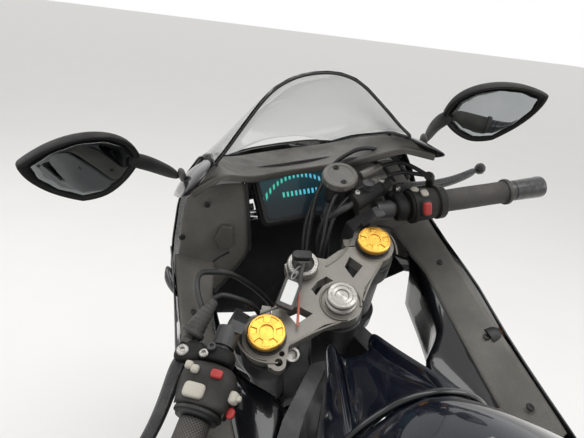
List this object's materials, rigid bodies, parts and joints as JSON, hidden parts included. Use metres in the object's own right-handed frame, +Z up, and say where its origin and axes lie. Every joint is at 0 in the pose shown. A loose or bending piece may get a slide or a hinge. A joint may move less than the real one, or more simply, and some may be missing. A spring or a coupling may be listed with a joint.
{
  "type": "sport bike",
  "caption": "Full-fairing sport bike leaning on its side stand, bars turned to the left stop, with clip-on bars, bubble screen, display dash and gold fork caps.",
  "frame": {"origin": "centre of the bounding box at the floor", "axes": "+X towards the front wheel along the bike, +Y to the rider's left, +Z up from the floor; the bike leans 11 degrees to its left on the stand"},
  "size_m": [2.0127, 0.7618, 1.136],
  "materials": {
    "tyre_rubber": "matte",
    "wheel_black": "satin",
    "disc_steel": "brushed",
    "chain_steel": "satin",
    "yoke_cast": "satin",
    "dark_metal": "satin",
    "fork_alloy": "satin",
    "gold_alloy": "anodised satin",
    "bright_alloy": "machined",
    "key_steel": "satin",
    "control_plastic": "matte",
    "grip_rubber": "matte",
    "bar_end_black": "satin",
    "reservoir_plastic": "fine grain",
    "hose_rubber": "satin",
    "engine_alloy": "satin",
    "radiator_alloy": "matte",
    "exhaust_steel": "satin",
    "silencer_black": "satin",
    "shock_red": "gloss",
    "tank_paint": "gloss, blue-black",
    "gloss_black": "gloss",
    "matte_black": "fine grain",
    "inner_grey": "fine grain",
    "seat_vinyl": "grained",
    "lamp_clear": "clear",
    "lamp_red": "gloss",
    "screen_smoke": "clear, lightly smoked",
    "mirror_silver": "polished",
    "rest_alloy": "satin"
  },
  "bodies": {
    "chassis": {"frame": "dark_metal", "subframe": "dark_metal", "swingarm": "dark_metal", "stand_bobbins": "bright_alloy", "engine": "engine_alloy", "drive_sprocket": "chain_steel", "chain": "chain_steel", "chain_guard": "matte_black", "radiator": "radiator_alloy", "exhaust": "exhaust_steel", "silencer": "silencer_black", "rear_shock": "shock_red", "rear_brake": "dark_metal", "fuel_tank": "tank_paint", "tank_cover": "gloss_black", "rider_seat": "seat_vinyl", "pillion_seat": "seat_vinyl", "tail_cowl": "gloss_black", "rear_fender": "matte_black", "rear_lamps": "lamp_red", "side_cowls": "gloss_black", "belly_pan": "matte_black", "upper_cowl": "gloss_black", "headlamps": "lamp_clear", "windscreen": "screen_smoke", "dash": "matte_black", "inner_cowl": "inner_grey", "mirrors": "matte_black", "mirror_glass": "mirror_silver", "rearsets": "rest_alloy"},
    "steering": {"upper_yoke": "yoke_cast", "lower_yoke": "dark_metal", "fork_tubes": "dark_metal", "fork_legs": "fork_alloy", "fork_caps": "gold_alloy", "stem_nut": "bright_alloy", "ignition_switch": "control_plastic", "ignition_key": "key_steel", "clip_ons": "dark_metal", "grips": "grip_rubber", "bar_ends": "bar_end_black", "switch_pods": "control_plastic", "levers": "dark_metal", "brake_reservoir": "reservoir_plastic", "hoses": "hose_rubber", "front_fender": "gloss_black", "front_calipers": "dark_metal"},
    "front_wheel": {"front_tyre": "tyre_rubber", "front_rim": "wheel_black", "front_discs": "disc_steel"},
    "rear_wheel": {"rear_tyre": "tyre_rubber", "rear_rim": "wheel_black", "rear_disc": "disc_steel", "rear_sprocket": "chain_steel"},
    "filler_cap": {"filler_cap": "bright_alloy"},
    "side_stand": {"side_stand": "dark_metal"}
  },
  "joints": [
    {"name": "steering_turn", "type": "hinge", "parent": "chassis", "child": "steering", "pos_m": [0.4594, -0.01528, 0.84939], "axis": [0.3941, -0.1754, -0.9022], "range_deg": [0, 60]},
    {"name": "front_wheel_spin", "type": "hinge", "parent": "steering", "child": "front_wheel", "pos_m": [0.73401, -0.10957, 0.28395], "axis": [-0.4595, 0.8125, -0.3587], "continuous": true},
    {"name": "rear_wheel_spin", "type": "hinge", "parent": "chassis", "child": "rear_wheel", "pos_m": [-0.64214, -0.12069, 0.30714], "axis": [0, 0.9816, -0.1908], "continuous": true},
    {"name": "side_stand_fold", "type": "hinge", "parent": "chassis", "child": "side_stand", "pos_m": [-0.0864, 0.03415, 0.22323], "axis": [0, 0.8386, 0.5447], "range_deg": [0, 95]},
    {"name": "filler_cap_lift", "type": "hinge", "parent": "chassis", "child": "filler_cap", "pos_m": [0.16916, 0.00255, 0.94115], "axis": [0, 0.9816, -0.1908], "range_deg": [0, 95]}
  ]
}
